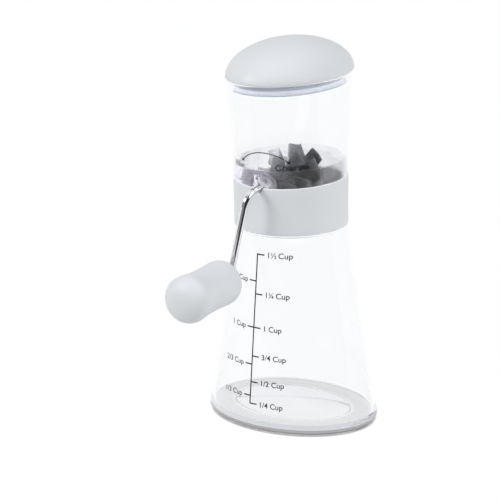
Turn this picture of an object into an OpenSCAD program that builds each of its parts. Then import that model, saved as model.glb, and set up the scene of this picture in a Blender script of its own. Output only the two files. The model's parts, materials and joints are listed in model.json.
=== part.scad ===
// Hand-cranked nut chopper: a clear oval jar, a collar with a star-wheel rotor on a bent wire crank,
// a clear hopper and a domed lid. Millimetres, +Z up, origin on the table under the jar's axis,
// the crank shaft along Y with the crank at -Y.

/* [Jar] */
// Half width of the jar at its foot, across the shaft
jar_foot_half_x = 48; // [40:0.5:56]
// Half width of the jar at its foot, along the shaft
jar_foot_half_y = 36.6; // [33:0.2:44]
// Radius of the round shoulder that the collar sits on
shoulder_r = 30.2; // [29:0.1:32]
// Height of the shoulder above the table
shoulder_z = 107; // [90:1:130]
// How fast the jar narrows upwards, across the shaft
flare_x = 1.2; // [1:0.05:1.6]
// How fast the jar narrows upwards, along the shaft
flare_y = 1; // [0.8:0.05:1.4]
// Thickness of the jar's wall
jar_wall = 2.2; // [1.6:0.1:3]
// Thickness of the jar's floor
jar_floor_t = 1.6; // [1.4:0.1:4]
// Thickness of the shoulder above the jar's hollow
shoulder_t = 1.6; // [1.4:0.1:4]
// How far the neck is set in from the shoulder
neck_step = 3.6; // [3:0.1:5]
// Height of the neck above the shoulder
neck_h = 11; // [7:0.5:13]

/* [Foot] */
// Height of the non-skid foot
foot_h = 4; // [3.6:0.2:8]
// How far the foot's lower edge draws in
foot_draft = 2; // [1:0.1:3]
// Half width of the rib that locates the foot, across the shaft
foot_rib_half_x = 35.4; // [30:0.2:38]
// Half width of the rib that locates the foot, along the shaft
foot_rib_half_y = 24.4; // [18:0.2:26]
// Thickness of the locating rib
foot_rib_t = 2; // [1.5:0.1:3]
// Height of the locating rib
foot_rib_h = 2; // [1.5:0.1:2.4]
// Thickness of the foot's middle
foot_web_t = 1.2; // [1:0.1:1.5]

/* [Collar] */
// Height of the collar
collar_h = 25.5; // [22:0.5:32]
// Half width of the collar's lower edge, across the shaft
collar_low_half_x = 30; // [29.5:0.1:33]
// Half width of the collar's lower edge, along the shaft
collar_low_half_y = 30.5; // [29.5:0.1:33]
// Half width of the collar's upper edge, across the shaft
collar_top_half_x = 29.1; // [28.5:0.1:33]
// Half width of the collar's upper edge, along the shaft
collar_top_half_y = 33.3; // [32:0.1:37]
// Thickness of the collar's wall round the chamber
collar_wall = 2.6; // [2:0.1:3]
// Thickness of the web that the chamber sits on
web_t = 2; // [1.5:0.1:3]

/* [Chopping chamber] */
// Height of the chamber's rim above the collar
rim_h = 9.2; // [5:0.2:12]
// Thickness of the chamber's wall
chamber_wall = 2; // [1.4:0.1:2.6]
// Thickness of the chamber's floor
chamber_floor_t = 2.5; // [1.8:0.1:3]
// Half width of the opening under the rotor
mouth_half_x = 15.5; // [14.5:0.1:16]
// Radius of the bosses that hold the bushes
boss_r = 6.6; // [6.2:0.1:8]
// Length of the front boss inside the chamber's wall
front_boss_l = 3.35; // [2:0.05:5]
// Length of the boss behind the rotor
rear_boss_l = 4; // [3:0.2:5]
// Thickness of the wall behind the rotor
bulkhead_t = 2; // [1.4:0.1:3]
// Thickness of the deck behind the rotor
deck_t = 1.8; // [1.2:0.1:2.5]
// Height of the deck's lower end above the shaft
deck_rise = 5; // [4.5:0.1:6]

/* [Bushes] */
// Outer radius of a bush
bush_r = 4.2; // [3.2:0.1:4.8]
// Radius of a bush's flange
bush_flange_r = 5.6; // [5:0.1:6.2]
// Thickness of a bush's flange
bush_flange_t = 1.2; // [0.8:0.1:2]

/* [Combs] */
// Gap between a fine finger and the wheels beside it
fine_gap = 1.2; // [0.8:0.1:2]
// Gap between a coarse finger and the wheels beside it
coarse_gap = 2.6; // [2:0.1:4]
// Distance of a comb's bar from the chamber's wall
comb_set_in = 3.7; // [3.2:0.1:4.4]
// Width of a comb's bar
comb_bar_w = 4; // [3.6:0.1:4.2]
// Half length of a comb's bar
comb_bar_half_y = 11; // [9:0.2:12]
// Height of a comb
comb_h = 4.2; // [3:0.1:5]
// Distance of a finger's tip from the shaft's line, across
comb_tip_x = 5; // [4.5:0.1:7]
// Radius of a comb screw
screw_r = 1.2; // [0.9:0.05:1.4]
// Radius of a comb screw's head
screw_head_r = 1.8; // [1.5:0.05:1.9]
// Height of a comb screw's head
screw_head_h = 1.4; // [1:0.1:2]
// Spacing of the two screws of a comb
screw_spacing = 14; // [8:0.5:16]

/* [Crank] */
// Diameter of the crank's wire
wire_d = 3.6; // [3:0.1:4]
// Distance from the shaft to the knob's axis
crank_r = 48; // [40:0.5:56]
// Angle of the arm from straight down, at rest
crank_lean = 13.5; // [-45:0.5:45]
// Distance of the arm's plane in front of the jar's axis
arm_y = 44.5; // [43.5:0.5:52]
// Bend radius between the shaft and the arm
arm_bend_r = 8; // [5:0.5:9]
// Bend radius between the arm and the knob's pin
pin_bend_r = 5; // [4:0.5:6]

/* [Knob] */
// Length of the knob
knob_l = 45.2; // [42:0.5:52]
// Diameter of the knob's waist
knob_waist_d = 22.8; // [20:0.2:26]
// How much the knob's radius grows towards the crank
knob_inner_flare = 1; // [0.5:0.1:2]
// How much the knob's radius grows towards the free end
knob_outer_flare = 2.4; // [1:0.1:3]
// Length of the knob's domed end at the crank
knob_inner_round = 9; // [6:0.1:11]
// Length of the knob's domed free end
knob_outer_round = 10.2; // [7:0.1:13]
// Gap between the arm and the knob
knob_gap = 1.2; // [0.6:0.1:2.5]
// Outer radius of the sleeve inside the knob
core_r = 3.6; // [3:0.1:3.9]
// Length of the sleeve inside the knob
core_l = 32; // [24:0.5:34]

/* [Rotor] */
// Place of the front wheel along the shaft
wheel_front_y = -18; // [-19:0.2:-16]
// Distance between neighbouring wheels
wheel_pitch = 10.2; // [9:0.1:11]
// Thickness of a wheel
wheel_t = 1.4; // [1:0.1:2]
// Radius of the two middle wheels' tips
wheel_mid_tip_r = 15.8; // [13:0.1:16.4]
// Radius of the two outer wheels' tips
wheel_end_tip_r = 13.2; // [11:0.1:15]
// Width of a tine at its tip
tine_tip_w = 6.8; // [4:0.1:7]
// Width of a tine at its root
tine_root_w = 7.2; // [6.8:0.1:8.4]
// Number of tines on the front wheel
tines_front = 4; // [4:1:6]
// Number of tines on each of the other wheels
tines_rest = 6; // [5:1:7]
// Outer radius of the sleeves between the wheels
spacer_r = 3.4; // [2.8:0.1:4]
// Length of the sleeve behind the rear wheel
spacer_rear_l = 2.4; // [2:0.1:4]
// Outer radius of the push-on rings
clip_r = 3.2; // [2.8:0.1:3.3]
// Thickness of the push-on rings
clip_t = 1.2; // [0.8:0.1:1.6]
// Thickness of the thrust washer
washer_t = 0.8; // [0.5:0.1:1.2]

/* [Hopper] */
// Height of the hopper
hopper_h = 54.2; // [40:0.5:70]
// Half width of the hopper's upper edge, across the shaft
hopper_top_half_x = 29; // [28.8:0.1:33]
// Half width of the hopper's upper edge, along the shaft
hopper_top_half_y = 40.9; // [38:0.1:42]
// Thickness of the hopper's wall
hopper_wall = 1.7; // [1.6:0.1:2.2]
// Thickness of the hopper's wall where the chamber's rim stands inside it
hopper_foot_wall = 1; // [0.8:0.1:1.2]

/* [Lid] */
// How far the lid overhangs the hopper
lid_overhang = 1.1; // [0.5:0.1:2]
// Height of the lid's dome
lid_dome_h = 17.9; // [12:0.1:24]
// Thickness of the lid's wall
lid_wall = 2.2; // [1.6:0.1:3]
// Thickness of the lid's flat rim
lid_rim_t = 1.8; // [1.2:0.1:2.5]
// Depth of the lid's skirt below its rim
skirt_depth = 6.8; // [5:0.1:10]
// Thickness of the lid's skirt
skirt_wall = 2; // [1.4:0.1:3]
// Thickness of the seal round the skirt
gasket_t = 1.8; // [1.2:0.1:2.4]
// Height of the seal
gasket_h = 4.6; // [3:0.1:5]
// Height of the bead that keeps the seal on the skirt
skirt_bead_h = 1.2; // [0.8:0.1:1.6]

/* [Fits] */
// Gap between pieces that lift off each other
slip_gap = 0.3; // [0.2:0.05:0.5]
// Gap at the seats of pieces that lift off each other
seat_gap = 0.2; // [0.1:0.05:0.4]
// Radial gap between the wire and what turns on it
run_gap = 0.05; // [0.02:0.01:0.1]
// Gap between pieces that are fixed together
fix_gap = 0.03; // [0.02:0.01:0.1]
// Gap between a turning end face and a fixed one
end_gap = 0.3; // [0.2:0.05:0.5]
// Radial gap round the wire where it leaves the collar
notch_gap = 0.4; // [0.3:0.1:1]

/* [Hidden] */
$fn = 64;
facets = 72;
jar_steps = 12;
dome_steps = 12;
round_steps = 10;
waist_steps = 10;
past = 1;

clear_tint = [0.93, 0.95, 0.96, 0.35];
smoke_tint = [0.72, 0.72, 0.76, 0.6];
pale_grey = [0.84, 0.86, 0.87];
steel_grey = [0.46, 0.46, 0.5];
chrome_grey = [0.8, 0.8, 0.82];

wire_r = wire_d / 2;
neck_r = shoulder_r - neck_step;
throat_r = neck_r - jar_wall;
neck_top_z = shoulder_z + neck_h;
jar_floor_z = foot_h + jar_floor_t;
jar_hollow_z = shoulder_z - shoulder_t;

collar_z = shoulder_z + seat_gap;
collar_top_z = collar_z + collar_h;
web_z = neck_top_z + slip_gap;
pocket_z = web_z + web_t;
shaft_z = collar_top_z;
chamber_floor_z = pocket_z + chamber_floor_t;
rim_z = collar_top_z + rim_h;

hopper_z = collar_top_z + seat_gap;
hopper_top_z = hopper_z + hopper_h;
hopper_step_z = rim_z + slip_gap;
lid_z = hopper_top_z + seat_gap;
lid_half_x = hopper_top_half_x + lid_overhang;
lid_half_y = hopper_top_half_y + lid_overhang;
gasket_z = lid_z - skirt_depth + skirt_bead_h;

comb_bar_x = chamber_ring(chamber_floor_z, chamber_wall)[0] - comb_set_in - comb_bar_w;

wheel_mid_front_y = wheel_front_y + wheel_pitch;
wheel_mid_rear_y = wheel_mid_front_y + wheel_pitch;
wheel_rear_y = wheel_mid_rear_y + wheel_pitch;
comb_y = (wheel_mid_front_y + wheel_mid_rear_y) / 2;
front_boss_y = front_boss_l - chamber_ring(shaft_z, chamber_wall)[1];
front_flange_y = front_boss_y + bush_flange_t;
rear_flange_y = wheel_rear_y + wheel_t / 2 + spacer_rear_l + end_gap;
bulkhead_y = rear_flange_y + bush_flange_t;
rear_bush_end_y = bulkhead_y + rear_boss_l;
washer_y = rear_bush_end_y + end_gap;
shaft_clip_y = washer_y + washer_t;
shaft_end_y = shaft_clip_y + 2 * clip_t;

knob_y = arm_y + wire_r + knob_gap;
core_start = max(arm_y + pin_bend_r - knob_y, 0) + end_gap;
knob_clip_start = core_start + core_l + end_gap;
pin_end = knob_clip_start + 2 * clip_t;
knob_bore_l = pin_end + end_gap;

// Shares of the foot's draft and height at the lower and upper ends of its rounded side
foot_side_draft = 0.3;
foot_side_low = 0.35;
foot_side_top = 0.8;

// Angle at which a dome ends in a small flat
dome_end_angle = 88;

// Share of the knob's length over which each of its flares fades to the waist
waist_reach = 0.55;
// How square the knob's domed ends are: 2 is an ellipse
inner_dome_power = 3;
outer_dome_power = 2.2;

// Phase of each wheel: the angle of one tine from straight up, towards +X
phase_front = 15;
phase_mid_front = -22;
phase_mid_rear = 2.5;
phase_rear = 40;

// Points of an oval, counter-clockwise from +X
function oval_points(half_x, half_y) =
    [for (i = [0 : facets - 1]) [half_x * cos(360 * i / facets), half_y * sin(360 * i / facets)]];

function blend(low, high, t) = low + (high - low) * t;

// A [half_x, half_y, z] ring of the jar's outside, drawn in by inset
function jar_ring(z, inset) =
    let (t = min(1, max(0, (z - foot_h) / (shoulder_z - foot_h))))
    [blend(shoulder_r, jar_foot_half_x, pow(1 - t, flare_x)) - inset,
     blend(shoulder_r, jar_foot_half_y, pow(1 - t, flare_y)) - inset, z];

function jar_rings(low_z, top_z, inset) =
    [for (i = [0 : jar_steps]) jar_ring(blend(low_z, top_z, i / jar_steps), inset)];

// A ring of the collar's outside
function collar_ring(z, inset) =
    let (t = (z - collar_z) / collar_h)
    [blend(collar_low_half_x, collar_top_half_x, t) - inset,
     blend(collar_low_half_y, collar_top_half_y, t) - inset, z];

// A ring of the hopper's outside
function hopper_ring(z, inset) =
    let (t = (z - hopper_z) / hopper_h)
    [blend(collar_top_half_x, hopper_top_half_x, t) - inset,
     blend(collar_top_half_y, hopper_top_half_y, t) - inset, z];

// Rings of a dome of the given half widths and height, which ends in a small flat
function dome_rings(half_x, half_y, low_z, rise) =
    [for (i = [0 : dome_steps]) let (a = dome_end_angle * i / dome_steps)
        [half_x * cos(a), half_y * cos(a), low_z + rise * sin(a)]];

// The solid through a list of [half_x, half_y, z] rings, lowest first
module loft(rings) {
    count = len(rings);
    points = [for (r = rings) for (p = oval_points(r[0], r[1])) [p[0], p[1], r[2]]];
    low_cap = [for (i = [0 : facets - 1]) i];
    top_cap = [for (i = [facets - 1 : -1 : 0]) (count - 1) * facets + i];
    sides = [for (k = [0 : count - 2]) for (i = [0 : facets - 1])
        let (j = (i + 1) % facets, low = k * facets, up = low + facets)
        each [[low + i, up + i, up + j], [low + i, up + j, low + j]]];
    polyhedron(points, concat([low_cap], [top_cap], sides));
}

module oval_prism(half_x, half_y, low_z, top_z) {
    translate([0, 0, low_z])
        linear_extrude(top_z - low_z)
            polygon(oval_points(half_x, half_y));
}

// A cylinder along Y on the shaft's line, from y1 to y2
module on_shaft(r, y1, y2) {
    translate([0, y2, shaft_z])
        rotate([90, 0, 0])
            cylinder(r = r, h = y2 - y1);
}

module sleeve_on_shaft(r, bore_r, y1, y2) {
    difference() {
        on_shaft(r, y1, y2);
        on_shaft(bore_r, y1 - past, y2 + past);
    }
}

// The half-round notch round the wire, cut from the collar's top and the hopper's foot
module wire_notch() {
    on_shaft(wire_r + notch_gap, -collar_top_half_y - past, -collar_top_half_y / 2);
}

// Jar and foot
module container() {
    color(clear_tint)
    difference() {
        union() {
            loft(jar_rings(foot_h, shoulder_z, 0));
            translate([0, 0, jar_hollow_z])
                cylinder(r = neck_r, h = neck_top_z - jar_hollow_z);
            difference() {
                oval_prism(foot_rib_half_x, foot_rib_half_y, foot_h - foot_rib_h, jar_floor_z);
                oval_prism(foot_rib_half_x - foot_rib_t, foot_rib_half_y - foot_rib_t,
                           foot_h - foot_rib_h - past, foot_h);
            }
        }
        loft(jar_rings(jar_floor_z, jar_hollow_z, jar_wall));
        translate([0, 0, jar_hollow_z - past])
            cylinder(r = throat_r, h = neck_top_z - jar_hollow_z + 2 * past);
    }
}

function foot_ring(z, inset) = [jar_foot_half_x - inset, jar_foot_half_y - inset, z];

module base_foot() {
    color(clear_tint)
    difference() {
        loft([foot_ring(0, foot_draft),
              foot_ring(foot_h * foot_side_low, foot_draft * foot_side_draft),
              foot_ring(foot_h * foot_side_top, 0),
              foot_ring(foot_h, 0)]);
        oval_prism(foot_rib_half_x + fix_gap, foot_rib_half_y + fix_gap, foot_web_t, foot_h + past);
    }
}

// Collar and what is fixed in it
module collar() {
    color(pale_grey)
    difference() {
        loft([collar_ring(collar_z, 0), collar_ring(collar_top_z, 0)]);
        translate([0, 0, collar_z - past])
            cylinder(r = neck_r + slip_gap, h = web_z - collar_z + past);
        translate([0, 0, web_z - past])
            cylinder(r = throat_r, h = web_t + 2 * past);
        loft([collar_ring(pocket_z, collar_wall), collar_ring(collar_top_z + past, collar_wall)]);
        wire_notch();
    }
}

// A ring of the chamber's outside in the collar, which it follows
function chamber_ring(z, inset) =
    let (r = collar_ring(min(z, collar_top_z), collar_wall + slip_gap / 2 + inset))
    [r[0], r[1], z];

// A ring of the chamber's rim, which stands straight inside the hopper's foot
function rim_ring(z, inset) =
    let (r = hopper_ring(hopper_z, hopper_foot_wall + slip_gap + inset))
    [r[0], r[1], z];

// The chamber's form, drawn in by inset: above the collar it steps out to the rim
module chamber_loft(low_z, top_z, inset) {
    step_z = hopper_z + inset;
    loft([chamber_ring(low_z, inset), chamber_ring(collar_top_z, inset), chamber_ring(step_z, inset),
          rim_ring(step_z, inset), rim_ring(top_z, inset)]);
}

module chamber_inner_walls() {
    reach = collar_top_half_y;
    translate([-reach, -reach, pocket_z])
        cube([2 * reach, reach + bulkhead_y + bulkhead_t, chamber_floor_t]);
    translate([-reach, bulkhead_y, pocket_z])
        cube([2 * reach, bulkhead_t, shaft_z + deck_rise + deck_t / 2 - pocket_z]);
    rotate([90, 0, 90])
        translate([0, 0, -reach])
            linear_extrude(2 * reach)
                polygon([[bulkhead_y, shaft_z + deck_rise], [reach, rim_z - deck_t],
                         [reach, rim_z], [bulkhead_y, shaft_z + deck_rise + deck_t]]);
    on_shaft(boss_r, -reach, front_boss_y);
    on_shaft(boss_r, bulkhead_y, rear_bush_end_y);
}

module screw_places() {
    for (side = [-1, 1])
        for (end = [-1, 1])
            translate([side * (comb_bar_x + comb_bar_w / 2), comb_y + end * screw_spacing / 2, 0])
                children();
}

module chopping_chamber() {
    color(smoke_tint)
    difference() {
        union() {
            difference() {
                chamber_loft(pocket_z, rim_z, 0);
                chamber_loft(pocket_z - past, rim_z + past, chamber_wall);
            }
            intersection() {
                chamber_loft(pocket_z, rim_z, chamber_wall / 2);
                chamber_inner_walls();
            }
        }
        intersection() {
            translate([-mouth_half_x, front_boss_y, pocket_z - past])
                cube([2 * mouth_half_x, bulkhead_y - front_boss_y, chamber_floor_t + 2 * past]);
            translate([0, 0, pocket_z - 2 * past])
                cylinder(r = throat_r, h = chamber_floor_t + 4 * past);
        }
        on_shaft(bush_r + fix_gap, -collar_top_half_y, front_boss_y + past);
        on_shaft(bush_r + fix_gap, bulkhead_y - past, rear_bush_end_y + past);
        screw_places()
            translate([0, 0, pocket_z - past])
                cylinder(r = screw_r + fix_gap, h = chamber_floor_t + 2 * past);
    }
}

// A comb on the +X side, with fingers between neighbouring wheels
module comb(finger_gap) {
    finger_w = wheel_pitch - wheel_t - 2 * finger_gap;
    difference() {
        union() {
            translate([comb_bar_x, comb_y - comb_bar_half_y, chamber_floor_z])
                cube([comb_bar_w, 2 * comb_bar_half_y, comb_h]);
            for (step = [-1 : 1])
                translate([comb_tip_x, comb_y + step * wheel_pitch - finger_w / 2, chamber_floor_z])
                    cube([comb_bar_x + comb_bar_w / 2 - comb_tip_x, finger_w, comb_h]);
        }
        screw_places()
            translate([0, 0, chamber_floor_z - past])
                cylinder(r = screw_r + fix_gap, h = comb_h + 2 * past);
    }
}

module comb_left() {
    color(pale_grey)
    mirror([1, 0, 0])
        comb(fine_gap);
}

module comb_right() {
    color(pale_grey)
    comb(coarse_gap);
}

module comb_screws() {
    color(steel_grey)
    screw_places() {
        translate([0, 0, pocket_z])
            cylinder(r = screw_r, h = chamber_floor_t + comb_h);
        translate([0, 0, chamber_floor_z + comb_h])
            cylinder(r = screw_head_r, h = screw_head_h);
    }
}

module front_bush() {
    color(pale_grey)
    difference() {
        union() {
            on_shaft(bush_r, slip_gap - chamber_ring(shaft_z - bush_r, 0)[1], front_boss_y);
            on_shaft(bush_flange_r, front_boss_y, front_flange_y);
        }
        on_shaft(wire_r + run_gap, -collar_top_half_y - past, front_flange_y + past);
    }
}

module rear_bush() {
    color(pale_grey)
    difference() {
        union() {
            on_shaft(bush_r, bulkhead_y, rear_bush_end_y);
            on_shaft(bush_flange_r, rear_flange_y, bulkhead_y);
        }
        on_shaft(wire_r + run_gap, rear_flange_y - past, rear_bush_end_y + past);
    }
}

// Crank, rotor and knob

// Places its children, drawn with the arm hanging straight down from the shaft at the origin
module on_crank() {
    translate([0, 0, shaft_z])
        rotate([0, crank_lean, 0])
            children();
}

// A quarter bend of the wire
module wire_bend(bend_r) {
    rotate_extrude(angle = 90)
        translate([bend_r, 0])
            circle(r = wire_r);
}

module crank_rod() {
    color(chrome_grey)
    on_crank() {
        translate([0, shaft_end_y, 0])
            rotate([90, 0, 0])
                cylinder(r = wire_r, h = shaft_end_y + arm_y - arm_bend_r);
        translate([0, arm_bend_r - arm_y, -arm_bend_r])
            rotate([180, -90, 0])
                wire_bend(arm_bend_r);
        translate([0, -arm_y, pin_bend_r - crank_r])
            cylinder(r = wire_r, h = crank_r - pin_bend_r - arm_bend_r);
        translate([0, -arm_y - pin_bend_r, pin_bend_r - crank_r])
            rotate([-90, 0, 90])
                wire_bend(pin_bend_r);
        translate([0, -arm_y - pin_bend_r, -crank_r])
            rotate([90, 0, 0])
                cylinder(r = wire_r, h = knob_y + pin_end - arm_y - pin_bend_r);
    }
}

// Directions along and across a tine at an angle from straight up
function up_at(a) = [sin(a), cos(a)];
function right_at(a) = [cos(a), -sin(a)];

// A stamped wheel on the shaft at y, with square-ended tines
module star_wheel(y, tines, tip_r, phase) {
    step = 360 / tines;
    root_r = tine_root_w / (2 * sin(step / 2));
    outline = [for (i = [0 : tines - 1]) let (a = phase + i * step)
        each [root_r * up_at(a - step / 2),
              tip_r * up_at(a) - tine_tip_w / 2 * right_at(a),
              tip_r * up_at(a) + tine_tip_w / 2 * right_at(a)]];
    color(steel_grey)
    translate([0, y, shaft_z])
        rotate([90, 0, 0])
            linear_extrude(wheel_t, center = true)
                difference() {
                    polygon(outline);
                    circle(r = wire_r + fix_gap);
                }
}

module star_wheel_front() {
    star_wheel(wheel_front_y, tines_front, wheel_end_tip_r, phase_front);
}

module star_wheel_mid_front() {
    star_wheel(wheel_mid_front_y, tines_rest, wheel_mid_tip_r, phase_mid_front);
}

module star_wheel_mid_rear() {
    star_wheel(wheel_mid_rear_y, tines_rest, wheel_mid_tip_r, phase_mid_rear);
}

module star_wheel_rear() {
    star_wheel(wheel_rear_y, tines_rest, wheel_end_tip_r, phase_rear);
}

module spacer(y1, y2) {
    color(steel_grey)
    sleeve_on_shaft(spacer_r, wire_r + fix_gap, y1, y2);
}

module spacer_front() {
    spacer(front_flange_y + end_gap, wheel_front_y - wheel_t / 2);
}

module spacer_mid_front() {
    spacer(wheel_front_y + wheel_t / 2, wheel_mid_front_y - wheel_t / 2);
}

module spacer_middle() {
    spacer(wheel_mid_front_y + wheel_t / 2, wheel_mid_rear_y - wheel_t / 2);
}

module spacer_mid_rear() {
    spacer(wheel_mid_rear_y + wheel_t / 2, wheel_rear_y - wheel_t / 2);
}

module spacer_rear() {
    spacer(wheel_rear_y + wheel_t / 2, rear_flange_y - end_gap);
}

module thrust_washer() {
    color(chrome_grey)
    sleeve_on_shaft(clip_r, wire_r + fix_gap, washer_y, shaft_clip_y);
}

module shaft_clip() {
    color(steel_grey)
    sleeve_on_shaft(clip_r, wire_r + fix_gap, shaft_clip_y, shaft_clip_y + clip_t);
}

// Radius of the knob at a distance from its inner end
function knob_radius(s) =
    let (reach = waist_reach * knob_l,
         inner = max(0, 1 - s / reach),
         outer = max(0, 1 - (knob_l - s) / reach))
    (knob_waist_d / 2 + knob_inner_flare * inner * inner + knob_outer_flare * outer * outer)
    * end_dome(s, knob_inner_round, inner_dome_power)
    * end_dome(knob_l - s, knob_outer_round, outer_dome_power);

// The share of the radius that a domed end leaves at a distance from it
function end_dome(s, length, power) =
    s >= length ? 1 : pow(max(0, 1 - pow((length - s) / length, power)), 1 / power);

function knob_stations() = concat(
    [for (i = [0 : round_steps - 1]) knob_inner_round * (1 - cos(90 * i / round_steps))],
    [for (i = [0 : waist_steps]) blend(knob_inner_round, knob_l - knob_outer_round, i / waist_steps)],
    [for (i = [round_steps - 1 : -1 : 0]) knob_l - knob_outer_round * (1 - cos(90 * i / round_steps))]);

// Places its children, drawn along +Z from the knob's inner end
module on_knob() {
    on_crank()
        translate([0, -knob_y, -crank_r])
            rotate([90, 0, 0])
                children();
}

module knob() {
    color(pale_grey)
    on_knob()
        difference() {
            rotate_extrude()
                polygon([for (s = knob_stations()) [knob_radius(s), s]]);
            translate([0, 0, -past])
                cylinder(r = core_r + fix_gap, h = knob_bore_l + past);
        }
}

module knob_core() {
    color(pale_grey)
    on_knob()
        translate([0, 0, core_start])
            difference() {
                cylinder(r = core_r, h = core_l);
                translate([0, 0, -past])
                    cylinder(r = wire_r + run_gap, h = core_l + 2 * past);
            }
}

module knob_clip() {
    color(steel_grey)
    on_knob()
        translate([0, 0, knob_clip_start])
            difference() {
                cylinder(r = min(clip_r, core_r - end_gap), h = clip_t);
                translate([0, 0, -past])
                    cylinder(r = wire_r + fix_gap, h = clip_t + 2 * past);
            }
}

// Hopper and lid
module hopper() {
    color(clear_tint)
    difference() {
        loft([hopper_ring(hopper_z, 0), hopper_ring(hopper_top_z, 0)]);
        loft([hopper_ring(hopper_z - past, hopper_foot_wall), hopper_ring(hopper_step_z, hopper_foot_wall),
              hopper_ring(hopper_step_z, hopper_wall), hopper_ring(hopper_top_z + past, hopper_wall)]);
        wire_notch();
    }
}

// Half widths of the seal and of the skirt inside it, clear of the hopper's wall at the seal's foot
gasket_half = hopper_ring(gasket_z - skirt_bead_h, hopper_wall + slip_gap);
skirt_half = hopper_ring(gasket_z - skirt_bead_h, hopper_wall + slip_gap + gasket_t);

module lid() {
    color(pale_grey)
    difference() {
        union() {
            loft(dome_rings(lid_half_x, lid_half_y, lid_z, lid_dome_h));
            oval_prism(skirt_half[0], skirt_half[1], gasket_z, lid_z + past);
            oval_prism(gasket_half[0] - gasket_t / 2, gasket_half[1] - gasket_t / 2,
                       gasket_z - skirt_bead_h, gasket_z);
        }
        loft(dome_rings(lid_half_x - lid_wall, lid_half_y - lid_wall, lid_z + lid_rim_t,
                        lid_dome_h - lid_rim_t - lid_wall));
        oval_prism(skirt_half[0] - skirt_wall, skirt_half[1] - skirt_wall,
                   gasket_z - skirt_bead_h - past, lid_z + lid_rim_t + past);
    }
}

module lid_gasket() {
    color(smoke_tint)
    difference() {
        oval_prism(gasket_half[0], gasket_half[1], gasket_z, gasket_z + gasket_h);
        oval_prism(skirt_half[0] + fix_gap, skirt_half[1] + fix_gap,
                   gasket_z - past, gasket_z + gasket_h + past);
    }
}

container();
base_foot();
collar();
chopping_chamber();
comb_left();
comb_right();
comb_screws();
front_bush();
rear_bush();
crank_rod();
spacer_front();
star_wheel_front();
spacer_mid_front();
star_wheel_mid_front();
spacer_middle();
star_wheel_mid_rear();
spacer_mid_rear();
star_wheel_rear();
spacer_rear();
thrust_washer();
shaft_clip();
knob();
knob_core();
knob_clip();
hopper();
lid();
lid_gasket();
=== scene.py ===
# %% [markdown]
# # Hand-cranked nut chopper
#
# The solids of the chopper come from a CAD model and stay where they are. This lesson gives them
# their looks: smooth clear shells instead of faceted ones, a bent wire crank, a stamped rotor,
# printed scales and plastic and steel finishes. Everything is in metres, with the table at Z = 0,
# the jar's axis on Z and the crank's shaft along Y. Sizes are written in millimetres and
# multiplied by MM, because that is how such an object is measured.

# %% Load the solids
import json
import math

import bpy
from mathutils import Matrix, Vector


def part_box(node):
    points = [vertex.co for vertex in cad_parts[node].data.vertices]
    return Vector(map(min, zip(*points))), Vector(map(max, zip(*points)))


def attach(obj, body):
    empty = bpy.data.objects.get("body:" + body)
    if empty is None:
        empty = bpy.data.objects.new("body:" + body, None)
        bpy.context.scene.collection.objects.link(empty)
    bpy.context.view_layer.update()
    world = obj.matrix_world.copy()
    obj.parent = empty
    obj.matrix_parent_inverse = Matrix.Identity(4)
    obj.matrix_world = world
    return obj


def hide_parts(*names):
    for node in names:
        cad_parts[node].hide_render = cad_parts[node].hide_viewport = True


MM = 0.001
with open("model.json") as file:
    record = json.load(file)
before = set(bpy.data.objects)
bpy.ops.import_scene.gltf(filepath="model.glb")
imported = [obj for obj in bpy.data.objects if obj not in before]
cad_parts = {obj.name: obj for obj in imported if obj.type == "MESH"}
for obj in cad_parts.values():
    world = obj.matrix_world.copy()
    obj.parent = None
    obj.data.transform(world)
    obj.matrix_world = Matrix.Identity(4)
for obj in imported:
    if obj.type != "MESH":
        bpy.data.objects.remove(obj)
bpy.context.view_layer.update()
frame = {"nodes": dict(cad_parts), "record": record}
nodes = frame["nodes"]

# %% [markdown]
# ## Camera
#
# The photograph was taken from a little above and to the right of the crank, with a long lens, so
# the upright lines stay almost parallel. The camera is aimed a little to the left of the jar and
# below its middle instead of being shifted, because a shift would follow it into every other view.
# A small roll lets the top lean to the left, as it does in the photograph.

# %% Camera
PHOTO_PX = 500
focal_px = 1886.8
sensor_mm = 36
target = Vector((0, 0, 100 * MM))
target_px = Vector((291.4, 233.4))
eye_distance = 1000 * MM
azimuth = math.radians(30)
elevation = math.radians(16.3)
roll = math.radians(-0.85)

to_eye = Vector((math.sin(azimuth) * math.cos(elevation),
                 -math.cos(azimuth) * math.cos(elevation),
                 math.sin(elevation)))
eye = target + to_eye * eye_distance


def facing(direction):
    """The camera's turn when it looks against a direction, with the roll."""
    return direction.to_track_quat("Z", "Y").to_matrix() @ Matrix.Rotation(roll, 3, "Z")


off_centre = (target_px - Vector((PHOTO_PX / 2, PHOTO_PX / 2))) / focal_px * eye_distance
right, up = facing(to_eye).col[0], facing(to_eye).col[1]
aim = target - right * off_centre.x + up * off_centre.y
bpy.ops.object.camera_add(location=eye, rotation=facing(eye - aim).to_euler())
camera = bpy.context.object
camera.data.sensor_width = sensor_mm
camera.data.lens = sensor_mm * focal_px / PHOTO_PX
bpy.context.scene.camera = camera
bpy.context.scene.view_settings.view_transform = "Standard"
print("lens:", round(camera.data.lens, 1), "mm, eye at", [round(v, 3) for v in eye])
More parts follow.
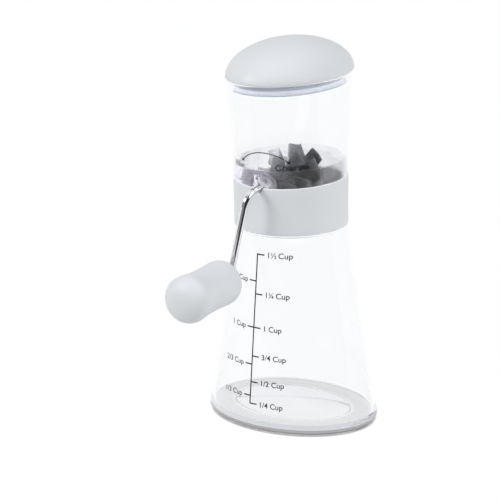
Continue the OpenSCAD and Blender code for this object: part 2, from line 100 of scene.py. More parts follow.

# %% [markdown]
# ## Table and light
#
# The chopper stands on a white table in a white studio. Clear plastic and chrome show little but
# their surroundings, so these matter more here than on a painted object. Rays from the camera, and
# those that plastic and metal pass on, see the table and the room as white, with only a trace of
# shadow, and the table throws some of that white up at the object. Only where the foot meets the
# table does the camera see a thin grey line, a contact shadow painted on the table by ambient
# occlusion. The one other exception is the side where the camera stands: mirrored rays find it
# dark, and grey a little further left, and the chrome wire picks that up as its dark and grey
# stripes.

# %% Table
WHITE = (1, 1, 1, 1)
TABLE_WHITE = (0.9, 0.9, 0.9, 1)
# grey of the contact shadow painted on the table round the foot
CONTACT_SHADOW_GREY = (0.2, 0.2, 0.21, 1)
table_size = (3.2, 1.95)
table_set_back = 0.83
contact_reach = 1.0 * MM
table_glow = 0.9
bounce_glow = 0.5
glow_strength = 1.05
node_spacing = 220


def deselect():
    """Deselect everything, because an operator acts on all that is selected."""
    bpy.ops.object.select_all(action="DESELECT")


deselect()
bpy.ops.mesh.primitive_plane_add(size=1)
table = bpy.context.object
table.name = "table"
table.rotation_euler.z = azimuth
table.scale = (*table_size, 1)
table.location = Matrix.Rotation(azimuth, 3, "Z") @ Vector((0, table_set_back, 0))


def put(node, **inputs):
    """Set values on a node's sockets, with underscores for the spaces in their names."""
    for name, value in inputs.items():
        node.inputs[name.replace("_", " ")].default_value = value


def add_node(tree, kind, **inputs):
    """A shader node of a kind to the right of the others, with values set on its sockets."""
    node = tree.nodes.new("ShaderNode" + kind)
    node.location.x = node_spacing * len(tree.nodes)
    put(node, **inputs)
    return node


def link(source, output, target, socket):
    """Link an output of one node to an input of another."""
    source.id_data.links.new(source.outputs[output], target.inputs[socket])


def shade(tree, low, high):
    """A mix of two colours."""
    node = add_node(tree, "Mix")
    node.data_type = "RGBA"
    put(node, A=low, B=high)
    return node


def calculate(tree, operation, value=None):
    """A math node of one kind, with its second number set if there is one."""
    node = add_node(tree, "Math")
    node.operation = operation
    if value is not None:
        node.inputs[1].default_value = value
    return node


def seen_directly(tree):
    """A node that gives 1 for rays from the camera and for those passed on by metal and glass."""
    path = add_node(tree, "LightPath")
    first = calculate(tree, "MAXIMUM")
    link(path, "Is Camera Ray", first, 0)
    link(path, "Is Glossy Ray", first, 1)
    both = calculate(tree, "MAXIMUM")
    link(first, 0, both, 0)
    link(path, "Is Transmission Ray", both, 1)
    return both


white_table = bpy.data.materials.new("white_table")
white_table.use_nodes = True
tree = white_table.node_tree
tree.nodes.clear()
matt = add_node(tree, "BsdfDiffuse", Color=TABLE_WHITE)
glow = add_node(tree, "Emission", Strength=glow_strength)
share = calculate(tree, "MULTIPLY", table_glow)
at_least = calculate(tree, "MAXIMUM", bounce_glow)
path = add_node(tree, "LightPath")
passed_on = calculate(tree, "LESS_THAN", 0.5)
# ambient occlusion paints a thin contact shadow on the table where the foot meets it
near = add_node(tree, "AmbientOcclusion", Distance=contact_reach)
clear_of = calculate(tree, "MAXIMUM")
painted_contact_shadow = shade(tree, CONTACT_SHADOW_GREY, WHITE)
mix = add_node(tree, "MixShader")
out = add_node(tree, "OutputMaterial")
link(seen_directly(tree), 0, at_least, 0)
link(at_least, 0, share, 0)
link(share, 0, mix, 0)
link(path, "Is Camera Ray", passed_on, 0)
link(near, "AO", clear_of, 0)
link(passed_on, 0, clear_of, 1)
link(clear_of, 0, painted_contact_shadow, "Factor")
link(painted_contact_shadow, "Result", glow, "Color")
link(matt, 0, mix, 1)
link(glow, 0, mix, 2)
link(mix, 0, out, "Surface")
table.data.materials.append(white_table)
print("table:", [round(v, 2) for v in table.dimensions])

# %% Studio round the table
ROOM_LIGHT = (0.5, 0.51, 0.53, 1)
ROOM_DARK = (0.03, 0.03, 0.033, 1)
ROOM_GREY = (0.3, 0.3, 0.31, 1)
# bearing from the camera's side, and the angles where the patch is full and where it ends
DARK_SIDE = (36, 46, 58)
GREY_SIDE = (-55, 50, 70)
horizon_blend = 0.04
# a mirror is the first one on a ray's way below this ray depth
first_mirror_depth = 2.5

world = bpy.data.worlds.new("white_studio")
bpy.context.scene.world = world
world.use_nodes = True
tree = world.node_tree
tree.nodes.clear()
way = add_node(tree, "TexCoord")
kind = add_node(tree, "LightPath")
early = calculate(tree, "LESS_THAN", first_mirror_depth)
first_mirror = calculate(tree, "MULTIPLY")
link(kind, "Ray Depth", early, 0)
link(early, 0, first_mirror, 0)
link(kind, "Is Glossy Ray", first_mirror, 1)


def mirrored_side(bearing, full, end):
    """A node that gives 1 for rays that a first mirror sends towards one side of the room."""
    turn = azimuth + math.radians(bearing)
    side = add_node(tree, "VectorMath")
    side.operation = "DOT_PRODUCT"
    side.inputs[1].default_value = (math.sin(turn), -math.cos(turn), 0)
    patch = add_node(tree, "MapRange", From_Min=math.cos(math.radians(end)),
                     From_Max=math.cos(math.radians(full)))
    seen = calculate(tree, "MULTIPLY")
    link(way, "Generated", side, 0)
    link(side, "Value", patch, "Value")
    link(patch, 0, seen, 0)
    link(first_mirror, 0, seen, 1)
    return seen


height = add_node(tree, "SeparateXYZ")
above = add_node(tree, "MapRange", From_Min=-horizon_blend, From_Max=horizon_blend)
lit = shade(tree, ROOM_DARK, ROOM_LIGHT)
pale = shade(tree, WHITE, ROOM_GREY)
plain = shade(tree, WHITE, ROOM_DARK)
room = add_node(tree, "Background", Strength=1)
white = add_node(tree, "Background", Strength=1)
mix = add_node(tree, "MixShader")
out = add_node(tree, "OutputWorld")
link(way, "Generated", height, 0)
link(height, "Z", above, "Value")
link(above, 0, lit, "Factor")
link(mirrored_side(*GREY_SIDE), 0, pale, "Factor")
link(mirrored_side(*DARK_SIDE), 0, plain, "Factor")
link(pale, "Result", plain, "A")
link(lit, "Result", room, "Color")
link(plain, "Result", white, "Color")
link(seen_directly(tree), 0, mix, 0)
link(room, 0, mix, 1)
link(white, 0, mix, 2)
link(mix, 0, out, "Surface")
print("studio:", len(tree.nodes), "nodes")

# %% Lamps
# name, bearing from the camera's side in degrees, height angle, distance, width, power in watts
LAMPS = [
    ("key_lamp", -62, 32, 1.0, 0.3, 3.9),
    ("fill_lamp", 62, 24, 1.2, 0.7, 4.4),
    ("top_lamp", 150, 70, 1.2, 0.9, 0.4),
    ("front_lamp", 6, 14, 1.3, 0.9, 4.9),
]
# a lamp beside the camera evens out the pale plastic, but no mirror may show it
UNMIRRORED = "front_lamp"

for name, bearing, lamp_height, lamp_distance, width, power in LAMPS:
    turn = azimuth + math.radians(bearing)
    tilt = math.radians(lamp_height)
    way = Vector((math.sin(turn) * math.cos(tilt), -math.cos(turn) * math.cos(tilt), math.sin(tilt)))
    bpy.ops.object.light_add(type="AREA", location=target + way * lamp_distance,
                             rotation=way.to_track_quat("Z", "Y").to_euler())
    lamp = bpy.context.object
    lamp.name = name
    lamp.data.shape = "SQUARE"
    lamp.data.size = width
    lamp.data.energy = power
    lamp.visible_glossy = name != UNMIRRORED
    print(name, "at", [round(v, 2) for v in lamp.location])

# %% [markdown]
# ## Drawing oval shells
#
# Jar, foot, collar, hopper, lid and seal are all oval forms round the Z axis, and the oval changes
# with height. A lathe can't do that, but a circle can: it is added once, scaled to the lowest oval,
# and then extruded and scaled again for every ring of the profile, over the rim and down inside.
# A form that starts and ends on a filled circle comes out closed, and a tube is closed by letting
# its last ring fall on its first and merging the doubles.

# %% Tools for oval shells
SIDES = 128
merge_reach = 0.002 * MM
crisp_angle = math.radians(32)
smooth_angle = math.radians(38)


def pick(piece):
    """Select one piece alone and make it active."""
    deselect()
    piece.select_set(True)
    bpy.context.view_layer.objects.active = piece


def apply_place():
    """Move the place, turn and scale of the selected piece into its mesh."""
    bpy.ops.object.transform_apply(location=True, rotation=True, scale=True)


def draw_rings(name, rings, tube=False):
    """Draw an oval form through rings of (half x, half y, z) in millimetres."""
    deselect()
    fill = "NOTHING" if tube else "NGON"
    bpy.ops.mesh.primitive_circle_add(vertices=SIDES, radius=1, fill_type=fill, enter_editmode=True)
    bpy.ops.mesh.select_all(action="SELECT")
    half_x, half_y, z = rings[0]
    bpy.ops.transform.resize(value=(half_x * MM, half_y * MM, 1), center_override=(0, 0, 0))
    bpy.ops.transform.translate(value=(0, 0, z * MM))
    for next_x, next_y, next_z in rings[1:] + (rings[:1] if tube else []):
        bpy.ops.mesh.extrude_region_move(TRANSFORM_OT_translate={"value": (0, 0, (next_z - z) * MM)})
        bpy.ops.transform.resize(value=(next_x / half_x, next_y / half_y, 1), center_override=(0, 0, 0))
        half_x, half_y, z = next_x, next_y, next_z
    bpy.ops.mesh.select_all(action="SELECT")
    bpy.ops.mesh.remove_doubles(threshold=merge_reach)
    bpy.ops.mesh.normals_make_consistent(inside=False)
    bpy.ops.object.mode_set(mode="OBJECT")
    piece = bpy.context.object
    piece.name = name
    return piece


def round_edges(piece, width, segments=3):
    """Round the crisp edges by a width in millimetres and shade the rest smooth."""
    pick(piece)
    bevel = piece.modifiers.new("rounded_edges", "BEVEL")
    bevel.width = width * MM
    bevel.segments = segments
    bevel.limit_method = "ANGLE"
    bevel.angle_limit = crisp_angle
    bpy.ops.object.modifier_apply(modifier=bevel.name)
    bpy.ops.object.shade_smooth_by_angle(angle=smooth_angle)


def measure(piece):
    """Print a piece's size in millimetres and its number of faces."""
    size = [round(v / MM, 1) for v in piece.dimensions]
    print(piece.name, size, "faces:", len(piece.data.polygons))


def blend(low, high, share):
    """A value on the way from low to high."""
    return low + (high - low) * share


# %% [markdown]
# ## Jar
#
# The jar is one clear moulding. Its foot is a wide oval and its shoulder is round, and the walls
# draw in between them in a slight curve. A short neck stands on the shoulder for the collar, and a
# low rib under the floor sits in the foot. The profile starts under the floor, runs round the rib,
# up the outside, over the neck and down the inside.

# %% Jar
FOOT_H = 4
SHOULDER_Z = 107
jar_foot = (48, 36.6)
shoulder_r = 30.2
jar_curve = (1.2, 1.0)
jar_wall = 2.2
jar_floor_z = 5.6
jar_roof_z = 105.9
neck_r = 26.6
throat_r = 24.4
neck_top_z = 118
rib = (35.4, 24.4)
rib_wall = 2
rib_low_z = 2
hair = 0.05
jar_steps = 24


def jar_ring(z, inset=0):
    """The jar's oval at a height, drawn in by a wall."""
    rise = (z - FOOT_H) / (SHOULDER_Z - FOOT_H)
    half_x = blend(shoulder_r, jar_foot[0], (1 - rise) ** jar_curve[0])
    half_y = blend(shoulder_r, jar_foot[1], (1 - rise) ** jar_curve[1])
    return (half_x - inset, half_y - inset, z)


def steps(low, high, count):
    """Even heights from low to high, both ends included."""
    return [blend(low, high, i / count) for i in range(count + 1)]


under = [(rib[0] - rib_wall, rib[1] - rib_wall, FOOT_H + hair),
         (rib[0] - rib_wall, rib[1] - rib_wall, rib_low_z),
         (rib[0], rib[1], rib_low_z),
         (rib[0], rib[1], FOOT_H + hair)]
outside = [jar_ring(z) for z in steps(FOOT_H + hair, SHOULDER_Z, jar_steps)]
neck = [(neck_r, neck_r, SHOULDER_Z),
        (neck_r, neck_r, neck_top_z),
        (throat_r, throat_r, neck_top_z),
        (throat_r, throat_r, jar_roof_z)]
inside = [jar_ring(z, jar_wall) for z in steps(jar_roof_z, jar_floor_z, jar_steps)]
jar = draw_rings("clear_jar", under + outside + neck + inside)
round_edges(jar, 0.6)
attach(jar, "jar")
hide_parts("container")
measure(jar)

# %% [markdown]
# ## Foot
#
# Under the jar sits a thick translucent ring that keeps it from sliding. Its side is rounded and
# draws in towards the table, and its upper face has a pocket for the jar's rib.

# %% Foot
foot_draft = 2
foot_web = 1.2
fit = 0.1

foot_side = [(0, FOOT_H - hair), (0, 3.2), (0.1, 2.5), (0.3, 1.9), (0.6, 1.4), (1.0, 0.8),
             (1.4, 0.35), (foot_draft, 0)]
pocket = (rib[0] + fit, rib[1] + fit)
foot_rings = [(*pocket, foot_web), (*pocket, FOOT_H - hair)]
foot_rings += [(jar_foot[0] - inset, jar_foot[1] - inset, z) for inset, z in foot_side]
foot = draw_rings("soft_foot", foot_rings)
round_edges(foot, 0.4)
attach(foot, "jar")
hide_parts("base_foot")
measure(foot)

# %% [markdown]
# ## Collar
#
# The pale collar joins the jar and the hopper. Outside it widens a little along the shaft; inside
# it has a bore for the jar's neck, a web, and a pocket for the chopping chamber. It is a tube, so
# its last ring meets its first. The wire leaves through half a hole in its upper edge, which a
# cylinder cuts out after the edges are rounded.

# %% Collar
COLLAR_Z = 107.2
COLLAR_TOP_Z = 132.7
SHAFT_Z = COLLAR_TOP_Z
collar_low = (30.0, 30.5)
collar_top = (29.1, 33.3)
collar_wall = 2.6
web_z = (118.3, 120.3)
neck_bore_r = 26.9
wire_r = 1.8
notch_gap = 0.4
notch_r = wire_r + notch_gap
notch_y = (-40, -20)
collar_steps = 6


def collar_ring(z, inset=0):
    """The collar's oval at a height, drawn in by a wall."""
    rise = (z - COLLAR_Z) / (COLLAR_TOP_Z - COLLAR_Z)
    return (blend(collar_low[0], collar_top[0], rise) - inset,
            blend(collar_low[1], collar_top[1], rise) - inset, z)


def shaft_cylinder(radius, y1, y2):
    """A cylinder on the shaft's line between two places along Y, in millimetres."""
    deselect()
    bpy.ops.mesh.primitive_cylinder_add(vertices=64, radius=radius * MM, depth=(y2 - y1) * MM,
                                        location=(0, (y1 + y2) / 2 * MM, SHAFT_Z * MM),
                                        rotation=(math.radians(90), 0, 0))
    return bpy.context.object


def combine(piece, tool, operation):
    """Cut a tool from a piece, join it on or keep what both share, and remove the tool."""
    pick(piece)
    change = piece.modifiers.new(operation.lower(), "BOOLEAN")
    change.operation = operation
    change.solver = "EXACT"
    change.object = tool
    bpy.ops.object.modifier_apply(modifier=change.name)
    bpy.data.objects.remove(tool)


collar_rings = [collar_ring(z) for z in steps(COLLAR_Z, COLLAR_TOP_Z, collar_steps)]
collar_rings += [collar_ring(COLLAR_TOP_Z, collar_wall),
                 collar_ring(web_z[1], collar_wall),
                 (throat_r, throat_r, web_z[1]),
                 (throat_r, throat_r, web_z[0]),
                 (neck_bore_r, neck_bore_r, web_z[0]),
                 (neck_bore_r, neck_bore_r, COLLAR_Z)]
collar = draw_rings("pale_collar", collar_rings, tube=True)
round_edges(collar, 0.5)
combine(collar, shaft_cylinder(notch_r, *notch_y), "DIFFERENCE")
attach(collar, "head")
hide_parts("collar")
measure(collar)

# %% [markdown]
# ## Chopping chamber
#
# A smoke-tinted cup hangs in the collar, and above that its rim steps out and stands inside the
# hopper's foot. So the hopper's oval is set down here as well. The cup carries the shaft in a boss
# at the front and one on a wall behind the rotor, and a sloping deck behind that wall leads what
# falls on it forward. The inner walls are drawn oversize, trimmed to the cup's oval by keeping only
# what both share, and then joined to the cup.

# %% Chopping chamber
HOPPER_Z = 132.9
HOPPER_TOP_Z = 187.1
hopper_top = (29.0, 40.9)
hopper_wall = 1.7
hopper_foot_wall = 1
slip_gap = 0.3

RIM_Z = 141.9
chamber_floor_z = (120.3, 122.8)
chamber_gap = 0.15
chamber_wall = 2
mouth_half_x = 15.5
mouth_low_z = 110
mouth_set_back = 4
front_boss_y = -25.2
bulkhead_y = (17.2, 19.2)
rear_boss_y = 21.2
boss_r = 6.6
bush_r = 4.25
deck_low_z = 137.7
deck_t = 1.8
reach = 34
past = 1


def hopper_ring(z, inset=0):
    """The hopper's oval at a height, drawn in by a wall."""
    rise = (z - HOPPER_Z) / (HOPPER_TOP_Z - HOPPER_Z)
    return (blend(collar_top[0], hopper_top[0], rise) - inset,
            blend(collar_top[1], hopper_top[1], rise) - inset, z)


def chamber_rings(low_z, inset=0):
    """The chamber's ovals: it follows the collar and steps out to its rim above that."""
    narrow_x, narrow_y, _ = collar_ring(COLLAR_TOP_Z, collar_wall + chamber_gap + inset)
    wide_x, wide_y, _ = hopper_ring(HOPPER_Z, hopper_foot_wall + slip_gap + inset)
    return [collar_ring(low_z, collar_wall + chamber_gap + inset),
            (narrow_x, narrow_y, COLLAR_TOP_Z),
            (narrow_x, narrow_y, HOPPER_Z + inset),
            (wide_x, wide_y, HOPPER_Z + inset),
            (wide_x, wide_y, RIM_Z)]


def block(x, y, z):
    """A box between pairs of places along the three axes, in millimetres."""
    deselect()
    middle = [(low + high) / 2 * MM for low, high in (x, y, z)]
    bpy.ops.mesh.primitive_cube_add(size=MM, location=middle,
                                    scale=[high - low for low, high in (x, y, z)])
    return bpy.context.object


cup = chamber_rings(chamber_floor_z[0])
cup += chamber_rings(chamber_floor_z[1], chamber_wall)[::-1]
chamber = draw_rings("smoke_chamber", cup)
round_edges(chamber, 0.85)

inner_walls = block((-reach, reach), bulkhead_y, (chamber_floor_z[0], deck_low_z + past))
deck = block((-reach, reach), (bulkhead_y[0], reach), (deck_low_z, deck_low_z + deck_t))
bpy.ops.object.mode_set(mode="EDIT")
bpy.ops.mesh.select_all(action="DESELECT")
bpy.ops.object.mode_set(mode="OBJECT")
for corner in deck.data.vertices:
    corner.select = corner.co.y > 0
bpy.ops.object.mode_set(mode="EDIT")
bpy.ops.transform.translate(value=(0, 0, (RIM_Z - deck_low_z - deck_t) * MM))
bpy.ops.object.mode_set(mode="OBJECT")
combine(inner_walls, deck, "UNION")
combine(inner_walls, shaft_cylinder(boss_r, -reach, front_boss_y), "UNION")
combine(inner_walls, shaft_cylinder(boss_r, bulkhead_y[0], rear_boss_y), "UNION")
trim = draw_rings("trim", chamber_rings(chamber_floor_z[0], chamber_wall / 2))
combine(inner_walls, trim, "INTERSECT")
combine(chamber, inner_walls, "UNION")
mouth_y = (front_boss_y + mouth_set_back, bulkhead_y[0])
mouth_z = (mouth_low_z, chamber_floor_z[1] + past)
mouth = block((-mouth_half_x, mouth_half_x), mouth_y, mouth_z)
combine(chamber, mouth, "DIFFERENCE")
combine(chamber, shaft_cylinder(bush_r, -reach, rear_boss_y + past), "DIFFERENCE")
pick(chamber)
bpy.ops.object.shade_smooth_by_angle(angle=smooth_angle)
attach(chamber, "head")
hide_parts("chopping_chamber")
measure(chamber)

# %% [markdown]
# ## Hopper
#
# The clear hopper is filled from above. It starts on the collar's oval and grows along the shaft
# towards its upper edge. It is a plain tube with a rounded lip and a wall that is thinner at the
# foot, where the chamber's rim stands inside it. The other half of the wire's hole is cut from its
# foot.

# %% Hopper
step_z = RIM_Z + slip_gap
step_slope = 4
lip_r = hopper_wall / 2
lip_z = HOPPER_TOP_Z - lip_r
lip_turn = [math.radians(20 * i) for i in range(1, 9)]
hopper_steps = 12

hopper_rings = [hopper_ring(z) for z in steps(HOPPER_Z, lip_z, hopper_steps)]
hopper_rings += [hopper_ring(lip_z + lip_r * math.sin(a), lip_r * (1 - math.cos(a)))
                 for a in lip_turn]
hopper_rings += [hopper_ring(z, hopper_wall) for z in steps(lip_z, step_z + step_slope, hopper_steps)]
hopper_rings += [hopper_ring(z, hopper_foot_wall) for z in (step_z, HOPPER_Z)]
hopper = draw_rings("clear_hopper", hopper_rings, tube=True)
round_edges(hopper, 0.3)
combine(hopper, shaft_cylinder(notch_r, *notch_y), "DIFFERENCE")
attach(hopper, "hopper")
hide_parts("hopper")
measure(hopper)

# %% [markdown]
# ## Lid and seal
#
# The lid is a low dome, half an ellipsoid, with a plain rounded lip. A skirt plugs into the hopper,
# and a translucent seal sits round it in a groove between the lip and a small bead. The profile of
# the lid runs from the top of its hollow down the inside of the skirt, round the bead and the lip,
# and up over the dome.

# %% Lid
LID_Z = 187.3
lid_half = (30.1, 42.0)
dome_h = 17.9
lid_wall = 2.2
lid_rim = 1.8
skirt_low_z = 180.5
groove_low_z = 181.7
seal_half = hopper_ring(skirt_low_z, hopper_wall + slip_gap)[:2]
seal_t = 1.8
skirt_half = tuple(v - seal_t for v in seal_half)
skirt_wall = 2
top_angle = 89


def dome_rings(half, low_z, rise, count=18):
    """Rings of a dome from its foot to a small ring at its top."""
    angles = [math.radians(top_angle * i / count) for i in range(count + 1)]
    return [(half[0] * math.cos(a), half[1] * math.cos(a), low_z + rise * math.sin(a))
            for a in angles]


def shrunk(half, inset):
    """Half widths drawn in by an inset."""
    return tuple(v - inset for v in half)


hollow = dome_rings(shrunk(lid_half, lid_wall), LID_Z + lid_rim, dome_h - lid_rim - lid_wall)
skirt = [(*shrunk(skirt_half, skirt_wall), LID_Z + lid_rim),
         (*shrunk(skirt_half, skirt_wall), skirt_low_z),
         (*shrunk(seal_half, seal_t / 2), skirt_low_z),
         (*shrunk(seal_half, seal_t / 2), groove_low_z),
         (*skirt_half, groove_low_z),
         (*skirt_half, LID_Z)]
lid = draw_rings("domed_lid", hollow[::-1] + skirt + dome_rings(lid_half, LID_Z, dome_h))
round_edges(lid, 0.5)
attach(lid, "lid")
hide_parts("lid")
measure(lid)

# %% Seal
seal_top_z = 186.3
seal_lips = [(0, 0), (0, 1.3), (0.5, 1.8), (0.5, 2.8), (0, 3.3), (0, seal_top_z - groove_low_z)]

seal_rings = [(*shrunk(seal_half, inset), groove_low_z + z) for inset, z in seal_lips]
seal_rings += [(*shrunk(skirt_half, -hair), seal_top_z), (*shrunk(skirt_half, -hair), groove_low_z)]
seal = draw_rings("lid_seal", seal_rings, tube=True)
round_edges(seal, 0.2)
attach(seal, "lid")
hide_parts("lid_gasket")
measure(seal)

# %% [markdown]
# ## Crank
#
# Shaft, arm and knob pin are one chromed wire with two bends. It is made as the wire is: a round
# section is drawn along the shaft, spun a quarter turn round the first bend, drawn down the arm,
# spun back round the second bend and drawn out along the pin. The arm leans to the left by the
# angle it has in the photograph.

# %% Crank
crank_lean = math.radians(13.5)
shaft_end_y = 24.7
arm_y = -44.5
crank_r = 48
arm_bend_r = 8
pin_bend_r = 5
pin_end_y = -84.5
bend_steps = 14
along_shaft = Vector((0, -1, 0))
down_arm = Vector((-math.sin(crank_lean), 0, -math.cos(crank_lean)))

deselect()
bpy.ops.mesh.primitive_circle_add(vertices=32, radius=wire_r * MM, fill_type="NGON",
                                  enter_editmode=True,
                                  location=(0, shaft_end_y * MM, SHAFT_Z * MM),
                                  rotation=(math.radians(90), 0, 0))
bpy.ops.mesh.select_all(action="SELECT")
wire_end = Vector((0, shaft_end_y, SHAFT_Z)) * MM


def draw_wire(way, length):
    """Draw the wire's end straight on by a length in millimetres."""
    global wire_end
    move = way * length * MM
    bpy.ops.mesh.extrude_region_move(TRANSFORM_OT_translate={"value": move})
    wire_end = wire_end + move


def bend_wire(way, next_way, radius):
    """Spin the wire's end a quarter turn from one way to the next."""
    global wire_end
    centre = wire_end + next_way * radius * MM
    bpy.ops.mesh.spin(steps=bend_steps, angle=math.radians(90), center=centre,
                      axis=next_way.cross(way))
    wire_end = centre + way * radius * MM


draw_wire(along_shaft, shaft_end_y - arm_y - arm_bend_r)
bend_wire(along_shaft, down_arm, arm_bend_r)
draw_wire(down_arm, crank_r - arm_bend_r - pin_bend_r)
bend_wire(down_arm, along_shaft, pin_bend_r)
draw_wire(along_shaft, wire_end.y / MM - pin_end_y)
bpy.ops.mesh.select_all(action="SELECT")
bpy.ops.mesh.remove_doubles(threshold=merge_reach)
bpy.ops.mesh.normals_make_consistent(inside=False)
bpy.ops.object.mode_set(mode="OBJECT")
crank = bpy.context.object
crank.name = "bent_wire_crank"
apply_place()
round_edges(crank, 0.3)
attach(crank, "crank")
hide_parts("crank_rod")
measure(crank)
print("wire ends at", [round(v / MM, 2) for v in wire_end])

# %% [markdown]
# ## Knob
#
# The grip is shaped like a short peanut: a waist between two swellings, of which the outer one is
# the larger, and domed ends. It is drawn ring by ring as the shells are, standing on the table,
# from the bottom of its bore to its far end, and then laid along the crank's pin.

# %% Knob
knob_l = 45.2
waist_r = 11.4
flares = (1.0, 2.4)
flare_reach = 0.55
domes = ((9.0, 3.0), (10.2, 2.2))
bore_r = 3.65
bore_l = 37.3
bore_mouth_r = bore_r + 0.9
bore_mouth_s = (1.2, 0.25)
inner_face_r = bore_r + 1.2
dome_steps = 12
waist_steps = 16
knob_y = -47.5


def end_dome(distance, length, power):
    """The share of the radius that is left at a distance from a domed end."""
    share = max(0, 1 - distance / length)
    return (1 - share ** power) ** (1 / power)


def knob_r(s):
    """The knob's radius at a distance from its inner end."""
    inner = max(0, 1 - s / (flare_reach * knob_l))
    outer = max(0, 1 - (knob_l - s) / (flare_reach * knob_l))
    full = waist_r + flares[0] * inner ** 2 + flares[1] * outer ** 2
    return full * end_dome(s, *domes[0]) * end_dome(knob_l - s, *domes[1])


quarter = [1 - math.cos(math.radians(90 * i / dome_steps)) for i in range(dome_steps + 1)]
stations = [domes[0][0] * share for share in quarter[1:]]
stations += steps(domes[0][0], knob_l - domes[1][0], waist_steps)[1:-1]
stations += [knob_l - domes[1][0] * share for share in quarter[:0:-1]] + [knob_l - hair]
knob_rings = [(bore_r, bore_r, bore_l),
              (bore_r, bore_r, bore_mouth_s[0]),
              (bore_mouth_r, bore_mouth_r, bore_mouth_s[1])]
knob_rings += [(knob_r(s), knob_r(s), s) for s in stations if knob_r(s) > inner_face_r or s > bore_l]
knob = draw_rings("peanut_knob", knob_rings)
knob.rotation_euler.x = math.radians(90)
knob.location = Vector((0, knob_y, SHAFT_Z)) * MM + down_arm * crank_r * MM
pick(knob)
apply_place()
round_edges(knob, 0.3)
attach(knob, "grip")
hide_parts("knob")
measure(knob)

# %% [markdown]
# ## Star wheels
#
# Four wheels are stamped from steel sheet. Each starts as a flat polygon with as many sides as
# the wheel has tines; every side is extruded outwards and narrowed a little to make a tine with a
# square end. The wheel is turned until its first tine points where it does in the photograph, and
# set upright at the middle of the solid that it replaces. The sheet then gets its thickness, and
# its edges are broken as they are on a tumbled stamping.

# %% Star wheels
wheel_t = 1.4
tine_root_w = 7.2
tine_tip_w = 6.8
# node, tines, radius of the tips, angle of the first tine from upright in degrees
WHEELS = [
    ("star_wheel_front", 4, 13.2, 15),
    ("star_wheel_mid_front", 6, 15.8, -22),
    ("star_wheel_mid_rear", 6, 15.8, 2.5),
    ("star_wheel_rear", 6, 13.2, 40),
]


def stamp_wheel(name, tines, tip_r):
    """A flat star with square-ended tines on the table, and the angle of its first tine."""
    half_step = math.pi / tines
    root_r = tine_root_w / (2 * math.sin(half_step))
    side_r = root_r * math.cos(half_step)
    deselect()
    bpy.ops.mesh.primitive_circle_add(vertices=tines, radius=root_r * MM, fill_type="NGON")
    wheel = bpy.context.object
    wheel.name = name
    sides = [(edge.index, sum((wheel.data.vertices[v].co for v in edge.vertices), Vector()) / 2)
             for edge in wheel.data.edges]
    for index, middle in sides:
        outwards = middle.normalized()
        for face in wheel.data.polygons:
            face.select = False
        for vertex in wheel.data.vertices:
            vertex.select = False
        for edge in wheel.data.edges:
            edge.select = edge.index == index
        bpy.ops.object.mode_set(mode="EDIT")
        bpy.ops.mesh.select_mode(type="EDGE")
        bpy.ops.mesh.extrude_region_move(
            TRANSFORM_OT_translate={"value": outwards * (tip_r - side_r) * MM})
        bpy.ops.transform.resize(value=[tine_tip_w / tine_root_w] * 3,
                                 center_override=outwards * tip_r * MM)
        bpy.ops.object.mode_set(mode="OBJECT")
    first_middle = sides[0][1]
    return wheel, math.atan2(first_middle.x, first_middle.y)


for node, tines, tip_r, first in WHEELS:
    wheel, stamped_angle = stamp_wheel("stamped_" + node, tines, tip_r)
    wheel.rotation_euler = (math.radians(90), math.radians(first) - stamped_angle, 0)
    front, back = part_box(node)
    wheel.location = (0, (front[1] + back[1]) / 2, SHAFT_Z * MM)
    pick(wheel)
    apply_place()
    sheet = wheel.modifiers.new("sheet", "SOLIDIFY")
    sheet.thickness = wheel_t * MM
    sheet.offset = 0
    bpy.ops.object.modifier_apply(modifier=sheet.name)
    round_edges(wheel, 0.18, segments=2)
    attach(wheel, "crank")
    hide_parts(node)
    measure(wheel)

# %% [markdown]
# ## Printed marks
#
# The jar carries a black cup scale and the hopper an arc that says which way chops fine and which
# coarse. Each mark is drawn flat in front of the wall: strips are planes with enough cuts to
# follow the curve, words are text turned into a mesh. A shrinkwrap then projects them along Y on
# the wall, a hair above it.

# %% Tools for printing
ink_lift = 0.06
in_front_y = -70
line_w = 0.72


def strip(x, z, width, height, cuts):
    """A flat strip in front of the object, centred on x and z, cut across for bending."""
    deselect()
    bpy.ops.mesh.primitive_plane_add(size=MM, location=(x * MM, in_front_y * MM, z * MM),
                                     rotation=(math.radians(90), 0, 0))
    piece = bpy.context.object
    piece.scale = (width, height, 1)
    apply_place()
    bpy.ops.object.mode_set(mode="EDIT")
    bpy.ops.mesh.select_all(action="SELECT")
    bpy.ops.mesh.subdivide(number_cuts=cuts)
    bpy.ops.object.mode_set(mode="OBJECT")
    return piece


def word(text, x, z, size, side="LEFT", weight=0.0, gap=1.0):
    """Words in front of the object, their middle height at z, with their left or right end at x."""
    deselect()
    bpy.ops.object.text_add(location=(x * MM, in_front_y * MM, z * MM),
                            rotation=(math.radians(90), 0, 0))
    piece = bpy.context.object
    piece.data.body = text
    piece.data.size = size * MM
    piece.data.align_x = side
    piece.data.align_y = "CENTER"
    piece.data.offset = weight * MM
    piece.data.space_word = gap
    bpy.ops.object.convert(target="MESH")
    piece = bpy.context.object
    apply_place()
    return piece


def arrowhead(x, z, angle, size):
    """A flat triangle in front of the object that points down when its angle is 0."""
    deselect()
    bpy.ops.mesh.primitive_circle_add(vertices=3, radius=size * MM, fill_type="NGON",
                                      location=(x * MM, in_front_y * MM, z * MM),
                                      rotation=(math.radians(90), angle + math.pi, 0))
    apply_place()
    return bpy.context.object


